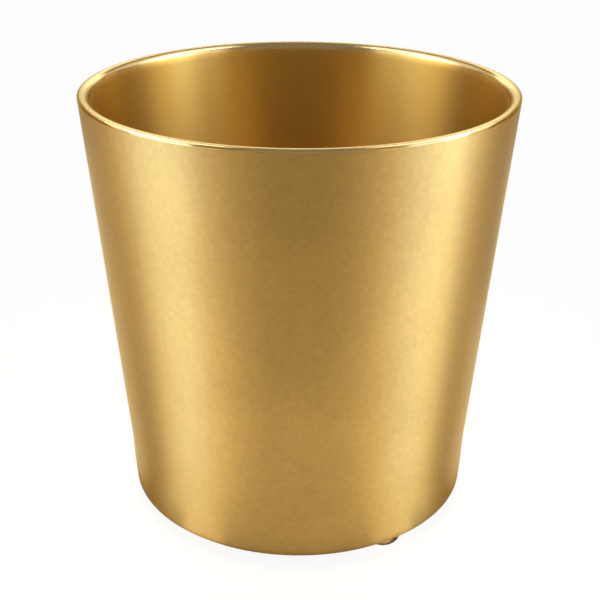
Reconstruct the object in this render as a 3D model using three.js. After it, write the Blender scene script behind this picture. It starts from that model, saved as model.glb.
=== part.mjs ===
// A round, tapered, double-walled plant pot in brass-coloured sheet metal, standing on three bumper feet.
// Millimetres, +Z up. The origin is on the ground under the pot's middle, and the front faces -Y.
// The inner liner rolls over at the top and hides the outer shell's edge, a base pan closes the shell
// from below, and the feet are stuck to the pan.

import * as THREE from 'three';

// Overall form
const rimRadius = 85;
const shellHeight = 169.5;
const wallAngle = 5 * Math.PI / 180;

// Sheet metal
const sheet = 0.7;
const seam = 0.3;

// Rim: two bends with a flat between them, and a lip that covers the shell's joggled edge
const innerBend = 2;
const outerBend = 0.25;
const rimFlat = 1.2;
const lipLength = 0.3;

// Band near the bottom, where the shell is pressed out over the pan's flange
const bandSwell = 0.6;
const bandHeight = 8.5;
const bandFade = 14;

// Base pan
const panShow = 1;
const panBend = 0.3;
const flangeHeight = 12;
const panelRadius = 46;
const panelRise = 1.2;
const panelSlope = 3;

// Liner
const linerBend = 8;

// Feet
const footCount = 3;
const footRadius = 7.5;
const footHeight = 5;
const soleRadius = 4;
const footSkirt = 0.6;
const firstFootAngle = -56 * Math.PI / 180;

// Smoothness
const roundSegments = 72;
const footSegments = 28;
const bendSteps = 4;
const bandSteps = 4;
const domeSteps = 5;

// Levels
const underside = footHeight;
const top = underside + shellHeight;
const linerFloorUnder = underside + sheet + panelRise + seam;

// Radii and offsets that follow from the sizes above
const taper = Math.tan(wallAngle);
const sheetAcross = sheet / Math.cos(wallAngle);
const outerRound = outerBend + sheet;
const innerRound = innerBend + sheet;
const outerRoundCentre = rimRadius - outerRound;
const innerRoundCentre = outerRoundCentre - rimFlat;

// The straight outer face starts where the rim's outer round ends.
const faceStartRadius = outerRoundCentre + outerRound * Math.cos(wallAngle);
const faceStartLevel = top - outerRound - outerRound * Math.sin(wallAngle);

function outerFace(z) {
  return faceStartRadius - taper * (faceStartLevel - z);
}

// The inner face starts where the rim's inner round ends, and runs parallel to the outer one.
const innerStartRadius = innerRoundCentre - innerRound * Math.cos(wallAngle);
const innerStartLevel = top - innerRound + innerRound * Math.sin(wallAngle);

function innerFace(z) {
  return innerStartRadius - taper * (innerStartLevel - z);
}

function shellFace(z) {
  const t = THREE.MathUtils.smoothstep(z - underside, bandHeight, bandHeight + bandFade);
  return outerFace(z) + bandSwell * (1 - t);
}

function flangeFace(z) {
  return shellFace(z) - sheetAcross - seam;
}

function arc(centreRadius, centreLevel, radius, from, to, steps) {
  const points = [];
  for (let i = 0; i <= steps; i++) {
    const a = from + (to - from) * i / steps;
    points.push([centreRadius + radius * Math.cos(a), centreLevel + radius * Math.sin(a)]);
  }
  return points;
}

function levels(from, to, steps) {
  return Array.from({ length: steps + 1 }, (_, i) => from + (to - from) * i / steps);
}

function turned(name, outline, segments, material) {
  const points = outline.map(([radius, level]) => new THREE.Vector2(radius, level));
  const geometry = new THREE.LatheGeometry(points, segments);
  geometry.rotateX(Math.PI / 2);
  const mesh = new THREE.Mesh(geometry, material);
  mesh.name = name;
  return mesh;
}

function metal(colour, roughness) {
  return new THREE.MeshStandardMaterial({ color: colour, roughness, metalness: 1 });
}

const straightDown = -Math.PI / 2;
const straightUp = Math.PI / 2;

function outerShell() {
  const lipEnd = faceStartLevel - lipLength;
  const shoulder = lipEnd - seam;
  const tabTop = faceStartLevel;
  const tabOffset = sheetAcross + seam;
  const lowerEdge = underside + panShow;
  const bandTop = underside + bandHeight + bandFade;
  const band = [lowerEdge, ...levels(underside + bandHeight, bandTop, bandSteps)];
  const outside = [
    ...band.map((z) => [shellFace(z), z]),
    [outerFace(shoulder), shoulder],
    [outerFace(shoulder) - tabOffset, shoulder],
    [outerFace(tabTop) - tabOffset, tabTop],
  ];
  const inside = [
    [outerFace(tabTop) - tabOffset - sheetAcross, tabTop],
    [outerFace(shoulder - sheet) - tabOffset - sheetAcross, shoulder - sheet],
    [outerFace(shoulder - sheet) - sheetAcross, shoulder - sheet],
    ...band.toReversed().map((z) => [shellFace(z) - sheetAcross, z]),
  ];
  const outline = [...outside, ...inside, outside[0]];
  return turned('outer_shell', outline, roundSegments, metal(0xc79f57, 0.36));
}

function innerLiner() {
  const lipEnd = faceStartLevel - lipLength;
  const cornerLevel = linerFloorUnder + sheet + linerBend;
  const cornerCentre = innerFace(cornerLevel) - linerBend / Math.cos(wallAngle);
  const outline = [
    [0, linerFloorUnder],
    ...arc(cornerCentre, cornerLevel, linerBend + sheet, straightDown, -wallAngle, bendSteps),
    ...arc(innerRoundCentre, top - innerRound, innerBend, Math.PI - wallAngle, straightUp, bendSteps),
    ...arc(outerRoundCentre, top - outerRound, outerBend, straightUp, -wallAngle, bendSteps),
    [outerFace(lipEnd) - sheetAcross, lipEnd],
    [outerFace(lipEnd), lipEnd],
    ...arc(outerRoundCentre, top - outerRound, outerRound, -wallAngle, straightUp, bendSteps),
    ...arc(innerRoundCentre, top - innerRound, innerRound, straightUp, Math.PI - wallAngle, bendSteps),
    ...arc(cornerCentre, cornerLevel, linerBend, -wallAngle, straightDown, bendSteps),
    [0, linerFloorUnder + sheet],
  ];
  return turned('inner_liner', outline, roundSegments, metal(0xb88b40, 0.32));
}

const panRound = panBend + sheet;
const panCornerLevel = underside + panRound;
const panCornerCentre = flangeFace(panCornerLevel) - panRound / Math.cos(wallAngle);

function basePan() {
  const flangeTop = underside + flangeHeight;
  const flange = levels(panCornerLevel + panRound, flangeTop, bandSteps);
  const outline = [
    [0, underside + panelRise],
    [panelRadius, underside + panelRise],
    [panelRadius + panelSlope, underside],
    ...arc(panCornerCentre, panCornerLevel, panRound, straightDown, -wallAngle, bendSteps),
    ...flange.map((z) => [flangeFace(z), z]),
    ...flange.toReversed().map((z) => [flangeFace(z) - sheetAcross, z]),
    ...arc(panCornerCentre, panCornerLevel, panBend, -wallAngle, straightDown, bendSteps),
    [panelRadius + panelSlope, underside + sheet],
    [panelRadius, underside + panelRise + sheet],
    [0, underside + panelRise + sheet],
  ];
  return turned('base_pan', outline, roundSegments, metal(0xb58f4d, 0.4));
}

function foot(name) {
  const dome = levels(0, Math.PI / 2, domeSteps).map((a) => [
    soleRadius + (footRadius - soleRadius) * Math.sin(a),
    (footHeight - footSkirt) * (1 - Math.cos(a)),
  ]);
  const outline = [[0, 0], ...dome, [footRadius, footHeight], [0, footHeight]];
  const rubber = new THREE.MeshStandardMaterial({ color: 0x6b4a22, roughness: 0.4, metalness: 0 });
  return turned(name, outline, footSegments, rubber);
}

function feet() {
  const group = new THREE.Group();
  const ringRadius = panCornerCentre - footRadius;
  for (let i = 0; i < footCount; i++) {
    const angle = firstFootAngle + i * 2 * Math.PI / footCount;
    const mesh = foot(`foot_${i + 1}`);
    mesh.position.set(ringRadius * Math.cos(angle), ringRadius * Math.sin(angle), 0);
    group.add(mesh);
  }
  return group;
}

const pot = new THREE.Group();
pot.add(outerShell());
pot.add(innerLiner());
pot.add(basePan());
pot.add(feet());

export default pot;
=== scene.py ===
"""A satin brass-coloured plant pot on a pale floor, with fine turned surfaces for its six pieces."""

import math

import bpy
from mathutils import Matrix, Vector


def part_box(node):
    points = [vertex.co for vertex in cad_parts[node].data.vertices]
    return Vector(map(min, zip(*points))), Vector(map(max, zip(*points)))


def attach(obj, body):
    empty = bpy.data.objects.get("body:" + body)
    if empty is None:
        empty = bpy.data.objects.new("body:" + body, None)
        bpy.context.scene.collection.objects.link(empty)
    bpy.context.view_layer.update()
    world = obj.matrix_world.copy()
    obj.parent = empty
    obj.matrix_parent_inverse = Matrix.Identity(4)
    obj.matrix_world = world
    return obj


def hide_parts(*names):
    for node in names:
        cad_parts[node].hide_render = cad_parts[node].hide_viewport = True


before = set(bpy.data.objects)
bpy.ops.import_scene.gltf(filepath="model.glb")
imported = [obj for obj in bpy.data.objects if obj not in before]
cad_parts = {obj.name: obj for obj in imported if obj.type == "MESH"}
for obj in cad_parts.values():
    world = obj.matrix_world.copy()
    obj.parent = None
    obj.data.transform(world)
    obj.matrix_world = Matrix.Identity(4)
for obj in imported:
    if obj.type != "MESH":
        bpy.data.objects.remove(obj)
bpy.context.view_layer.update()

MM = 0.001

# Overall form, as in the model
RIM_RADIUS = 85 * MM
WALL_ANGLE = math.radians(5)
SHEET = 0.7 * MM
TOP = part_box("inner_liner")[1].z
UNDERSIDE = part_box("base_pan")[0].z

# Sheets that are pressed together stand this far apart.
SEAM = 0.03 * MM

# Rim: at the soft angle its inner rounding turns into a wider bend, and below the soft depth the wall
# is straight.
INNER_BEND = 2 * MM
OUTER_BEND = 0.25 * MM
RIM_FLAT = 1.2 * MM
LIP_LENGTH = 0.3 * MM
SOFT_BEND = 13 * MM
SOFT_ANGLE = math.radians(20)
SOFT_DEPTH = 5 * MM

# Shell, with its band near the bottom
SHELL_START = 3 * MM
BAND_SWELL = 0.6 * MM
BAND_HEIGHT = 8.5 * MM
BAND_FADE = 14 * MM

# Base pan
PAN_SHOW = 1 * MM
PAN_BEND = 0.3 * MM
FLANGE_HEIGHT = 12 * MM
PANEL_RADIUS = 46 * MM
PANEL_RISE = 1.2 * MM
PANEL_SLOPE = 3 * MM
PANEL_GAP = 0.3 * MM

# Liner
LINER_BEND = 8 * MM
LINER_START = 2 * MM

# Feet
FOOT_SKIRT = 0.6 * MM
SOLE_RADIUS = 4 * MM
FEET = ("foot_1", "foot_2", "foot_3")

# Smoothness
ROUND_SEGMENTS = 256
FOOT_SEGMENTS = 96
BEND_STEPS = 14
SLOPE_STEPS = 10
WALL_STEPS = 40
SHARP_ANGLE = math.radians(40)
ON_AXIS = 1e-9

# Metal: the sizes of its clouds and grain, and the polish of its rim, measured down from the top. The rim's
# paler colour is partly its polish and partly a painted highlight.
EDGE_TINT = (0.95, 0.87, 0.62)
CLOUD_SIZE = 40 * MM
GRAIN_SIZE = 2.5 * MM
FINE_SIZE = 0.5 * MM
FINE_DEPTH = 0.007 * MM
CLOUD_SHARE = 0.4
ROUGH_SPREAD = 0.03
QUARTER_TURN = 0.25
LACQUER_ROUGHNESS = 0.4
POLISH_AND_HIGHLIGHT_COLOUR = (0.76, 0.55, 0.26)
POLISH_AND_HIGHLIGHT_START = 3 * MM
POLISH_AND_HIGHLIGHT_FULL = 1.5 * MM
POLISH_ROUGHNESS = 0.5

# Rubber
RUBBER_DARK = (0.6, 0.38, 0.14)
RUBBER_LIGHT = (0.75, 0.52, 0.22)
RUBBER_CLOUD_SIZE = 4 * MM
RUBBER_GRAIN_SIZE = 0.4 * MM
RUBBER_GRAIN_DEPTH = 0.004 * MM
RUBBER_ROUGHNESS = (0.16, 0.26)

# Camera: the eye is measured from the middle of the rim's top, and the frame is 600 by 600 pixels.
FRAME_PIXELS = 600
FOCAL_PIXELS = 1140.8
SENSOR_WIDTH = 36
EYE_DISTANCE = 449.1 * MM
EYE_ELEVATION = math.radians(13.696)
AIM_BELOW_RIM = math.radians(10.625)
AIM_RIGHT = math.radians(0.068)
CAMERA_ROLL = math.radians(0.244)

# Floor, and the pot's shade on it, in which metal doesn't see its glow
FLOOR_HALF = 3
FLOOR_GREY = (0.8, 0.8, 0.8)
FLOOR_GLOW = 0.91
SHADE_RADIUS = 0.07
SHADE_END = 0.1

# Room: white walls that fade to the ceiling's brightness between two sines of the elevation
ROOM_LIGHT = 0.09
CEILING = 0.27
FADE_START = 0.15
FADE_END = 0.75

# Lamps and cards: their tints, the ring on the floor where they start, and how far out they stand
WHITE = (1, 1, 1)
COOL = (0.62, 0.77, 1)
GOLD = (1, 0.83, 0.53)
AMBER = (1, 0.6, 0.15)
CARD_START = 70.5 * MM
CARD_LIFT = 0.5 * MM
CARD_STEPS = 6
ROOM_RADIUS = 500 * MM

TAPER = math.tan(WALL_ANGLE)
SHEET_ACROSS = SHEET / math.cos(WALL_ANGLE)
OUTER_ROUND = OUTER_BEND + SHEET
INNER_ROUND = INNER_BEND + SHEET
OUTER_ROUND_CENTRE = RIM_RADIUS - OUTER_ROUND
INNER_ROUND_CENTRE = OUTER_ROUND_CENTRE - RIM_FLAT
FACE_START_RADIUS = OUTER_ROUND_CENTRE + OUTER_ROUND * math.cos(WALL_ANGLE)
FACE_START_LEVEL = TOP - OUTER_ROUND - OUTER_ROUND * math.sin(WALL_ANGLE)
INNER_START_RADIUS = INNER_ROUND_CENTRE - INNER_ROUND * math.cos(WALL_ANGLE)
INNER_START_LEVEL = TOP - INNER_ROUND + INNER_ROUND * math.sin(WALL_ANGLE)
LIP_END = FACE_START_LEVEL - LIP_LENGTH
SOFT_TURN = SOFT_ANGLE - WALL_ANGLE
LINER_FLOOR = UNDERSIDE + SHEET + PANEL_RISE + PANEL_GAP
DOWN = -math.pi / 2
UP = math.pi / 2


def ease(t):
    """Goes from 0 to 1 with a soft start and end."""
    return t * t * (3 - 2 * t)


def levels(start, end, steps):
    """Even steps from start to end, with both of them."""
    return [start + (end - start) * i / steps for i in range(steps + 1)]


def outer_face(z):
    """Radius of the straight outer face at a level."""
    return FACE_START_RADIUS - TAPER * (FACE_START_LEVEL - z)


def inner_face(z):
    """Radius of the liner's inner face at a level."""
    return INNER_START_RADIUS - TAPER * (INNER_START_LEVEL - z)


def shell_face(z):
    """Radius of the shell's outer face, with its band near the bottom."""
    t = min(max((z - UNDERSIDE - BAND_HEIGHT) / BAND_FADE, 0), 1)
    return outer_face(z) + BAND_SWELL * (1 - ease(t))


def flange_face(z):
    """Radius of the pan's flange, just inside the shell."""
    return shell_face(z) - SHEET_ACROSS - SEAM


def arc(radius, level, bend, start, end):
    """Points of an arc round a centre at that radius and level."""
    angles = levels(start, end, BEND_STEPS)
    return [(radius + bend * math.cos(a), level + bend * math.sin(a)) for a in angles]


def add_mesh(name, verts, faces):
    """A new object in the scene, from its points and faces."""
    mesh = bpy.data.meshes.new(name)
    mesh.from_pydata(verts, [], faces)
    piece = bpy.data.objects.new(name, mesh)
    bpy.context.scene.collection.objects.link(piece)
    return piece


def turned(name, outline, segments):
    """A body of revolution from an outline that closes on itself or starts and ends on the axis."""
    verts = []
    rings = []
    for radius, level in outline:
        if radius < ON_AXIS:
            rings.append([len(verts)] * segments)
            verts.append((0, 0, level))
            continue
        rings.append(list(range(len(verts), len(verts) + segments)))
        for i in range(segments):
            a = 2 * math.pi * i / segments
            verts.append((radius * math.cos(a), radius * math.sin(a), level))
    if outline[0][0] > ON_AXIS:
        rings.append(rings[0])
    faces = []
    for lower, upper in zip(rings, rings[1:]):
        for i in range(segments):
            j = (i + 1) % segments
            corners = [lower[i], lower[j], upper[j], upper[i]]
            faces.append(list(dict.fromkeys(corners)))
    piece = add_mesh(name, verts, faces)
    piece.data.validate()
    piece.data.shade_smooth()
    piece.data.set_sharp_from_angle(angle=SHARP_ANGLE)
    return piece


def make_shell():
    """The tapered outer wall, with a round lower edge, and a tab that steps in under the rim's lip."""
    edge_round = SHEET / 2
    lower_edge = UNDERSIDE + PAN_SHOW
    shoulder = LIP_END - SEAM
    tab = SHEET_ACROSS + SEAM
    wall = [lower_edge + edge_round] + levels(UNDERSIDE + SHELL_START, shoulder, WALL_STEPS)
    edge_centre = shell_face(lower_edge) - SHEET_ACROSS / 2
    outline = [
        *arc(edge_centre, lower_edge + edge_round, SHEET_ACROSS / 2, -math.pi, 0)[1:-1],
        *[(shell_face(z), z) for z in wall],
        (outer_face(shoulder) - tab, shoulder),
        (outer_face(FACE_START_LEVEL) - tab, FACE_START_LEVEL),
        (outer_face(FACE_START_LEVEL) - tab - SHEET_ACROSS, FACE_START_LEVEL),
        (outer_face(shoulder - SHEET) - tab - SHEET_ACROSS, shoulder - SHEET),
        (outer_face(shoulder - SHEET) - SHEET_ACROSS, shoulder - SHEET),
        *[(shell_face(z) - SHEET_ACROSS, z) for z in reversed(wall[:-1])],
    ]
    return turned("outer_shell_skin", outline, ROUND_SEGMENTS)


def rim_inside():
    """The rim's inner rounding, from its top down to the wall, which it meets in the soft bend."""
    wide = SOFT_BEND - INNER_ROUND
    shift = wide * (1 - math.cos(SOFT_TURN)) / math.cos(WALL_ANGLE)
    centre = INNER_ROUND_CENTRE + shift
    level = TOP - INNER_ROUND
    wide_centre = centre + wide * math.cos(SOFT_ANGLE)
    wide_level = level - wide * math.sin(SOFT_ANGLE)
    return [
        *arc(centre, level, INNER_ROUND, UP, math.pi - SOFT_ANGLE),
        *arc(wide_centre, wide_level, SOFT_BEND, math.pi - SOFT_ANGLE, math.pi - WALL_ANGLE)[1:],
    ]


def make_liner():
    """The inner bucket: its floor, its wall, and the rim, whose lip turns down outside."""
    corner_level = LINER_FLOOR + SHEET + LINER_BEND
    corner_centre = inner_face(corner_level) - LINER_BEND / math.cos(WALL_ANGLE)
    wall = levels(corner_level + LINER_START, INNER_START_LEVEL - SOFT_DEPTH, WALL_STEPS)
    outline = [
        (0, LINER_FLOOR),
        *arc(corner_centre, corner_level, LINER_BEND + SHEET, DOWN, -WALL_ANGLE),
        *[(inner_face(z) + SHEET_ACROSS, z) for z in wall],
        *arc(INNER_ROUND_CENTRE, TOP - INNER_ROUND, INNER_BEND, math.pi - WALL_ANGLE, UP),
        *arc(OUTER_ROUND_CENTRE, TOP - OUTER_ROUND, OUTER_BEND, UP, -WALL_ANGLE),
        (outer_face(LIP_END) - SHEET_ACROSS, LIP_END),
        (outer_face(LIP_END), LIP_END),
        *arc(OUTER_ROUND_CENTRE, TOP - OUTER_ROUND, OUTER_ROUND, -WALL_ANGLE, UP),
        *rim_inside(),
        *[(inner_face(z), z) for z in reversed(wall)],
        *arc(corner_centre, corner_level, LINER_BEND, -WALL_ANGLE, DOWN),
        (0, LINER_FLOOR + SHEET),
    ]
    return turned("inner_liner_skin", outline, ROUND_SEGMENTS)


def make_pan():
    """The pan that closes the pot from below, with its flange and the raised panel in its middle."""
    bend = PAN_BEND + SHEET
    corner_level = UNDERSIDE + bend
    corner_centre = flange_face(corner_level) - bend / math.cos(WALL_ANGLE)
    flange = levels(corner_level + bend, UNDERSIDE + FLANGE_HEIGHT, BEND_STEPS)
    slope = levels(0, 1, SLOPE_STEPS)
    step = [(PANEL_RADIUS + PANEL_SLOPE * t, PANEL_RISE * (1 - ease(t))) for t in slope]
    outline = [
        (0, UNDERSIDE + PANEL_RISE),
        *[(r, UNDERSIDE + rise) for r, rise in step],
        *arc(corner_centre, corner_level, bend, DOWN, -WALL_ANGLE),
        *[(flange_face(z), z) for z in flange],
        *[(flange_face(z) - SHEET_ACROSS, z) for z in reversed(flange)],
        *arc(corner_centre, corner_level, PAN_BEND, -WALL_ANGLE, DOWN),
        *[(r, UNDERSIDE + rise + SHEET) for r, rise in reversed(step)],
        (0, UNDERSIDE + PANEL_RISE + SHEET),
    ]
    return turned("base_pan_skin", outline, ROUND_SEGMENTS)


def make_foot(node):
    """A domed bumper with a flat sole, in the place of its node."""
    low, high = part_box(node)
    radius = (high.x - low.x) / 2
    height = high.z - low.z
    dome_width = radius - SOLE_RADIUS
    dome_height = height - FOOT_SKIRT
    turn = levels(0, math.pi / 2, 2 * BEND_STEPS)
    dome = [(SOLE_RADIUS + dome_width * math.sin(a), dome_height * (1 - math.cos(a))) for a in turn]
    top = height - SEAM
    piece = turned(f"{node}_bumper", [(0, 0), *dome, (radius, top), (0, top)], FOOT_SEGMENTS)
    centre = (low + high) / 2
    piece.data.transform(Matrix.Translation((centre.x, centre.y, low.z)))
    return piece


class Nodes:
    """A short way to add and join the nodes of a material or a world."""

    def __init__(self, owner, output="ShaderNodeOutputMaterial"):
        owner.use_nodes = True
        self.tree = owner.node_tree
        self.tree.nodes.clear()
        self.output = self.add(output)

    def add(self, kind, inputs=None, **settings):
        """A new node. Each input is a number, a colour or the output of another node."""
        node = self.tree.nodes.new(kind)
        for key, value in settings.items():
            setattr(node, key, value)
        for key, value in (inputs or {}).items():
            if isinstance(value, (int, float)):
                node.inputs[key].default_value = value
            elif isinstance(value, tuple):
                node.inputs[key].default_value = (*value, 1)
            else:
                self.tree.links.new(value, node.inputs[key])
        return node

    def place(self, kind="Object"):
        """Where a point of the surface is, or which way a ray into the world goes."""
        return self.add("ShaderNodeTexCoord").outputs[kind]

    def noise(self, size, detail=2, roughness=0.5):
        """Noise whose features are about that size, in metres."""
        inputs = {"Vector": self.place(), "Scale": 1 / size, "Detail": detail, "Roughness": roughness}
        return self.add("ShaderNodeTexNoise", inputs).outputs["Fac"]

    def span(self, source, low, high, from_low=0.3, from_high=0.7, soft=False):
        """Maps a range of the source, by default the middle of a noise's, to low and high."""
        inputs = {"Value": source, "From Min": from_low, "From Max": from_high, "To Min": low, "To Max": high}
        kind = "SMOOTHSTEP" if soft else "LINEAR"
        return self.add("ShaderNodeMapRange", inputs, interpolation_type=kind).outputs["Result"]

    def math(self, operation, a, b):
        return self.add("ShaderNodeMath", {0: a, 1: b}, operation=operation).outputs["Value"]

    def length(self, vector):
        """How far a place is from the origin."""
        return self.add("ShaderNodeVectorMath", {0: vector}, operation="LENGTH").outputs["Value"]

    def height(self, place):
        """How high a place is."""
        return self.add("ShaderNodeSeparateXYZ", {0: place}).outputs["Z"]

    def blend(self, factor, a, b):
        """Mixes two colours by a factor."""
        return self.add("ShaderNodeMix", {"Factor": factor, 6: a, 7: b}, data_type="RGBA").outputs[2]

    def bump(self, height, depth, below=None):
        inputs = {"Strength": 1, "Distance": depth, "Height": height}
        if below:
            inputs["Normal"] = below
        return self.add("ShaderNodeBump", inputs).outputs["Normal"]

    def finish(self, shader):
        """Makes a shader node the surface."""
        self.tree.links.new(shader.outputs[0], self.output.inputs["Surface"])


def brass(name, light, dark, roughness, spun, mottle, lacquer, polish_and_highlight_rim=False):
    """Satin brass-coloured metal. Spun says how far turning it on a lathe has spread its gloss up and
    down, mottle is the depth of its leathery grain, and lacquer is how much clear coat it has."""
    material = bpy.data.materials.new(name)
    n = Nodes(material)
    around = n.add("ShaderNodeTangent", direction_type="RADIAL", axis="Z")
    cloud = n.noise(CLOUD_SIZE)
    grain = n.noise(GRAIN_SIZE, detail=4, roughness=0.65)
    fine = n.noise(FINE_SIZE)
    cloud_part = n.math("MULTIPLY", cloud, CLOUD_SHARE)
    grain_part = n.math("MULTIPLY", grain, 1 - CLOUD_SHARE)
    mixed = n.math("ADD", cloud_part, grain_part)
    colour = n.blend(n.span(mixed, 0, 1), dark, light)
    rough = n.span(mixed, roughness + ROUGH_SPREAD, roughness - ROUGH_SPREAD)
    if polish_and_highlight_rim:
        rim = n.span(n.height(n.place()), 0, 1, TOP - POLISH_AND_HIGHLIGHT_START, TOP - POLISH_AND_HIGHLIGHT_FULL)
        # Paler colour along the rim: partly polish, partly a painted highlight.
        colour = n.blend(rim, colour, POLISH_AND_HIGHLIGHT_COLOUR)
        rough = n.math("MULTIPLY", rough, n.span(rim, 1, POLISH_ROUGHNESS, 0, 1))
    normal = n.bump(fine, FINE_DEPTH, below=n.bump(grain, mottle))
    gloss = {
        "Base Color": colour,
        "Metallic": 1,
        "Roughness": rough,
        "Normal": normal,
        "Tangent": around.outputs["Tangent"],
        "Specular Tint": EDGE_TINT,
        "Anisotropic": spun,
        "Anisotropic Rotation": QUARTER_TURN,
        "Coat Weight": lacquer,
        "Coat Roughness": LACQUER_ROUGHNESS,
    }
    n.finish(n.add("ShaderNodeBsdfPrincipled", gloss))
    return material


def shell_metal():
    """Spun and lacquered, with the clearest mottle."""
    light = (0.69, 0.47, 0.142)
    dark = (0.56, 0.371, 0.11)
    return brass("spun_shell", light, dark, roughness=0.45, spun=0.8, mottle=0.06 * MM, lacquer=1)


def liner_metal():
    """A smoother and deeper satin without lacquer, polished along the rim, where its paler colour is partly
    polish and partly a painted highlight.
    """
    light = (0.68, 0.428, 0.104)
    dark = (0.62, 0.39, 0.094)
    return brass(
        "spun_liner", light, dark, roughness=0.39, spun=0.9, mottle=0.008 * MM, lacquer=0, polish_and_highlight_rim=True
    )


def pan_metal():
    """A pressed sheet, hardly spun and a little darker, which is painted shade along the pot's lower edge."""
    light = (0.52, 0.33, 0.1)
    dark = (0.46, 0.29, 0.085)
    return brass("pressed_pan", light, dark, roughness=0.45, spun=0.3, mottle=0.02 * MM, lacquer=1)


def rubber():
    """Glossy amber rubber of the bumper feet, which lets some light through."""
    material = bpy.data.materials.new("amber_rubber")
    n = Nodes(material)
    cloud = n.noise(RUBBER_CLOUD_SIZE)
    grain = n.noise(RUBBER_GRAIN_SIZE)
    gloss = {
        "Base Color": n.blend(n.span(cloud, 0, 1), RUBBER_DARK, RUBBER_LIGHT),
        "Roughness": n.span(grain, *RUBBER_ROUGHNESS),
        "Normal": n.bump(grain, RUBBER_GRAIN_DEPTH),
        "IOR": 1.5,
        "Transmission Weight": 0.85,
    }
    n.finish(n.add("ShaderNodeBsdfPrincipled", gloss))
    return material


def dress(piece, node, material):
    """Puts a finished piece in the place of its node."""
    piece.data.materials.append(material)
    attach(piece, "root")
    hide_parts(node)


def dress_all():
    dress(make_shell(), "outer_shell", shell_metal())
    dress(make_liner(), "inner_liner", liner_metal())
    dress(make_pan(), "base_pan", pan_metal())
    foot_rubber = rubber()
    for node in FEET:
        dress(make_foot(node), node, foot_rubber)


def seen_rays(n, strength):
    """A strength for rays that see a surface directly, in a reflection or through glass."""
    rays = n.add("ShaderNodeLightPath").outputs
    direct = n.math("MAXIMUM", rays["Is Camera Ray"], rays["Is Glossy Ray"])
    seen = n.math("MAXIMUM", direct, rays["Is Transmission Ray"])
    return n.math("MULTIPLY", seen, strength)


def floor_glow(n):
    """Metal doesn't see the glow in the pot's own shade, near its base. All else sees it everywhere."""
    rays = n.add("ShaderNodeLightPath").outputs
    clear = n.span(n.length(n.place()), 0, 1, SHADE_RADIUS, SHADE_END, soft=True)
    direct = n.math("MAXIMUM", clear, rays["Is Camera Ray"])
    seen = n.math("MAXIMUM", direct, rays["Is Transmission Ray"])
    return n.math("MULTIPLY", seen, seen_rays(n, FLOOR_GLOW))


def make_floor():
    """A pale matt floor. What the room leaves short of white is made up for rays that see it."""
    corners = [(x * FLOOR_HALF, y * FLOOR_HALF, 0) for x, y in ((-1, -1), (1, -1), (1, 1), (-1, 1))]
    floor = add_mesh("floor", corners, [(0, 1, 2, 3)])
    material = bpy.data.materials.new("pale_floor")
    n = Nodes(material)
    matt = n.add("ShaderNodeBsdfDiffuse", {"Color": FLOOR_GREY})
    glow = n.add("ShaderNodeEmission", {"Color": WHITE, "Strength": floor_glow(n)})
    n.finish(n.add("ShaderNodeAddShader", {0: matt.outputs[0], 1: glow.outputs[0]}))
    floor.data.materials.append(material)


def make_world():
    """White walls that darken towards the ceiling, and a dimmer light from them on what is matt."""
    world = bpy.data.worlds.new("studio")
    bpy.context.scene.world = world
    n = Nodes(world, "ShaderNodeOutputWorld")
    fade = n.span(n.height(n.place("Generated")), 1, CEILING, FADE_START, FADE_END, soft=True)
    seen = n.add("ShaderNodeBackground", {"Color": WHITE, "Strength": fade})
    room = n.add("ShaderNodeBackground", {"Color": WHITE, "Strength": ROOM_LIGHT})
    n.finish(n.add("ShaderNodeMixShader", {0: seen_rays(n, 1), 1: room.outputs[0], 2: seen.outputs[0]}))


def card(name, lower, upper, tint, brightness):
    """A lit card between two rows of points. It shows only in reflections and through the rubber."""
    count = len(lower)
    faces = [(i, i + 1, count + i + 1, count + i) for i in range(count - 1)]
    piece = add_mesh(name, lower + upper, faces)
    piece.visible_camera = False
    piece.visible_diffuse = False
    piece.visible_shadow = False
    material = bpy.data.materials.new(name)
    n = Nodes(material)
    n.finish(n.add("ShaderNodeEmission", {"Color": tint, "Strength": brightness}))
    piece.data.materials.append(material)


def heading(bearing):
    """The level direction at a bearing in degrees from the front, positive to the right."""
    a = math.radians(bearing)
    return Vector((math.sin(a), -math.cos(a), 0))


def floor_card(name, start, end, near, far, tint, brightness):
    """A card on the floor where the wall's mirror image of it lies between two bearings and two reaches."""
    up = Vector((0, 0, CARD_LIFT))

    def row(reach):
        return [heading(b / 2) * CARD_START + heading(b) * reach + up for b in levels(start, end, CARD_STEPS)]

    card(name, row(near), row(far), tint, brightness)


def wall_card(name, start, end, low, high, tint, brightness):
    """An upright card round the pot between two bearings and two heights."""

    def row(z):
        return [heading(b) * ROOM_RADIUS + Vector((0, 0, z)) for b in levels(start, end, CARD_STEPS)]

    card(name, row(low), row(high), tint, brightness)


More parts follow.
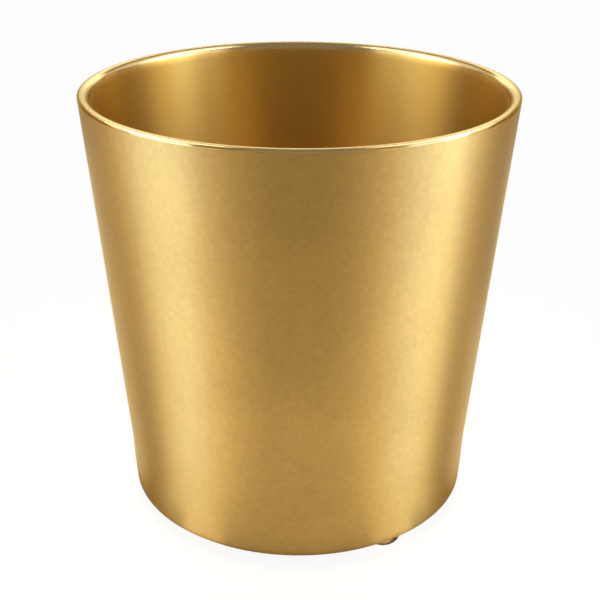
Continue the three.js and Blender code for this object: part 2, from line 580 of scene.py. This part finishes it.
def make_lamps():
    """Tall soft lamps stand beside the pot, low in front and high behind, with dim cards between them.
    Each row has a name, two bearings in degrees, two reaches or heights in metres, a tint, and the
    brightness on the left and on the right. Brightness 1 looks like lit white paper."""
    on_floor = (
        # The contact row is a dim sheet at the pot's base, where the floor is in shade: painted shade that
        # the metal shows along its lower edge.
        ("contact_shade", 0, 180, 0, 0.006, AMBER, 0.2, 0.2),
        ("near_front", 0, 50, 0.006, 0.014, GOLD, 0.66, 0.66),
        ("near_band", 50, 82, 0.006, 0.014, GOLD, 1.45, 1.45),
        ("near_edge", 82, 180, 0.006, 0.02, AMBER, 0.27, 0.27),
        ("low_front", 0, 52, 0.014, 0.04, GOLD, 0.74, 0.74),
        ("low_band", 52, 82, 0.014, 0.04, GOLD, 1.07, 1.07),
        ("low_rear", 82, 94, 0.02, 0.04, GOLD, 0.65, 0.65),
        ("front", 0, 25, 0.04, 0.16, GOLD, 0.95, 0.95),
        ("front_far", 0, 25, 0.16, 0.45, GOLD, 0.34, 0.34),
        ("front_turn", 25, 40, 0.04, 0.16, GOLD, 1.2, 1.07),
        ("front_turn_far", 25, 40, 0.16, 0.45, GOLD, 0.72, 0.55),
        ("front_side", 40, 58, 0.04, 0.45, GOLD, 1.48, 1.38),
        ("band_near", 58, 82, 0.04, 0.1, WHITE, 1.4, 1.55),
        ("band_near_rear", 82, 94, 0.04, 0.1, GOLD, 1.1, 1.15),
        ("band_front", 58, 70, 0.1, 0.45, WHITE, 1.65, 1.65),
        ("band_middle", 70, 82, 0.1, 0.45, WHITE, 1.57, 1.92),
        ("band_rear", 82, 94, 0.1, 0.45, GOLD, 1.25, 1.4),
        ("edge", 94, 122, 0.02, 0.45, AMBER, 0.28, 0.28),
        ("edge_rear", 122, 150, 0.02, 0.2, GOLD, 0.87, 0.87),
        ("edge_rear_far", 122, 150, 0.2, 0.45, GOLD, 0.75, 0.5),
        ("rear", 150, 180, 0.02, 0.45, GOLD, 1.5, 1.5),
    )
    upright = (
        ("wall_front", 0, 25, 0, 0.55, GOLD, 0.37, 0.37),
        ("wall_side", 25, 50, 0, 0.55, GOLD, 0.28, 0.42),
        ("wall_front_high", 0, 50, 0.55, 1.6, WHITE, 0.26, 0.26),
        ("lamp_low_front", 50, 70, 0, 0.25, COOL, 3.3, 2.1),
        ("lamp_high_front", 50, 70, 0.25, 0.55, WHITE, 1.35, 1.35),
        ("lamp_low_side", 70, 85, 0, 0.36, COOL, 3.3, 5.2),
        ("lamp_high_side", 70, 85, 0.36, 0.9, WHITE, 1.85, 1.85),
        ("lamp_low_rear", 85, 100, 0, 0.36, GOLD, 1.3, 1.3),
        ("lamp_high_rear", 85, 115, 0.36, 0.9, WHITE, 4.9, 4.9),
        ("flag", 100, 135, 0, 0.36, AMBER, 0.33, 0.33),
        ("lamp_top", 70, 115, 0.9, 1.6, WHITE, 3.5, 3.5),
        ("lamp_back", 115, 135, 0.36, 1.6, WHITE, 1.2, 1.2),
        ("wall_rear", 135, 158, 0, 0.36, GOLD, 0.5, 0.5),
        ("wall_rear_high", 135, 158, 0.36, 1.6, WHITE, 0.8, 0.8),
        ("wall_back_low", 158, 180, 0, 0.22, AMBER, 0.2, 0.2),
        ("wall_back", 158, 180, 0.22, 0.31, WHITE, 0.95, 0.95),
        ("wall_back_lamp", 158, 180, 0.31, 0.42, WHITE, 2.1, 2.1),
        ("wall_back_high", 158, 180, 0.42, 1.6, GOLD, 0.33, 0.33),
    )
    for make, cards in ((floor_card, on_floor), (wall_card, upright)):
        for name, start, end, low, high, tint, left, right in cards:
            make(name + "_left", -start, -end, low, high, tint, left)
            make(name + "_right", start, end, low, high, tint, right)


def make_camera():
    """The eye looks at the rim's middle, then turns down, right and round."""
    eye = Vector((0, -EYE_DISTANCE * math.cos(EYE_ELEVATION), EYE_DISTANCE * math.sin(EYE_ELEVATION)))
    forward = -eye.normalized()
    right = forward.cross(Vector((0, 0, 1))).normalized()
    up = right.cross(forward)
    for axis, angle in ((0, AIM_BELOW_RIM), (1, AIM_RIGHT), (2, CAMERA_ROLL)):
        turn = Matrix.Rotation(-angle, 3, (right, up, forward)[axis])
        forward, right, up = turn @ forward, turn @ right, turn @ up
    data = bpy.data.cameras.new("camera")
    data.sensor_width = SENSOR_WIDTH
    data.lens = FOCAL_PIXELS / FRAME_PIXELS * SENSOR_WIDTH
    camera = bpy.data.objects.new("camera", data)
    turn = Matrix((right, up, -forward)).transposed()
    camera.matrix_world = Matrix.Translation(eye + Vector((0, 0, TOP))) @ turn.to_4x4()
    bpy.context.scene.collection.objects.link(camera)
    bpy.context.scene.camera = camera


make_camera()
make_world()
make_lamps()
make_floor()
dress_all()
bpy.context.scene.view_settings.view_transform = "Standard"
